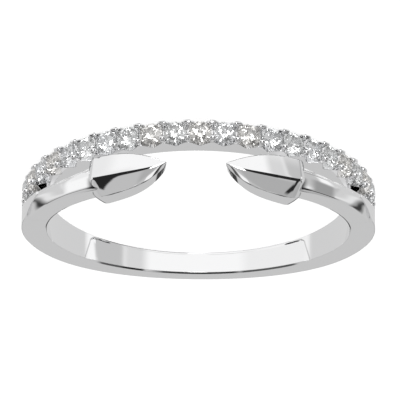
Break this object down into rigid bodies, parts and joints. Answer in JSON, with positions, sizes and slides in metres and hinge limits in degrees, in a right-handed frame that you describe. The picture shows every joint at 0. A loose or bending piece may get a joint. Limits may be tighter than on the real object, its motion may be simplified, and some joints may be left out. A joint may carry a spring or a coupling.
{
  "type": "arrow ring",
  "caption": "Finger ring of polished white metal: a half-eternity row of round prong-set stones beside an open band that ends in two facing arrowheads.",
  "frame": {"origin": "centre of the finger hole, on the flat side face that the ring lies on", "axes": "+Z along the finger axis towards the sloped side face, -Y towards the middle of the stone row, +X to the right as seen from behind the stones; the ring lies on its side on z = 0"},
  "size_m": [0.0206, 0.0203, 0.0039],
  "materials": {
    "white_metal": "high polish, rhodium-plated white gold",
    "clear_stone": "clear faceted round stone, polished"
  },
  "bodies": {
    "root": {"ring_body": "white_metal", "stone_01": "clear_stone", "stone_02": "clear_stone", "stone_03": "clear_stone", "stone_04": "clear_stone", "stone_05": "clear_stone", "stone_06": "clear_stone", "stone_07": "clear_stone", "stone_08": "clear_stone", "stone_09": "clear_stone", "stone_10": "clear_stone", "stone_11": "clear_stone", "stone_12": "clear_stone", "stone_13": "clear_stone", "stone_14": "clear_stone", "stone_15": "clear_stone", "stone_16": "clear_stone", "stone_17": "clear_stone", "stone_18": "clear_stone", "stone_19": "clear_stone", "stone_20": "clear_stone", "stone_21": "clear_stone"}
  },
  "joints": []
}
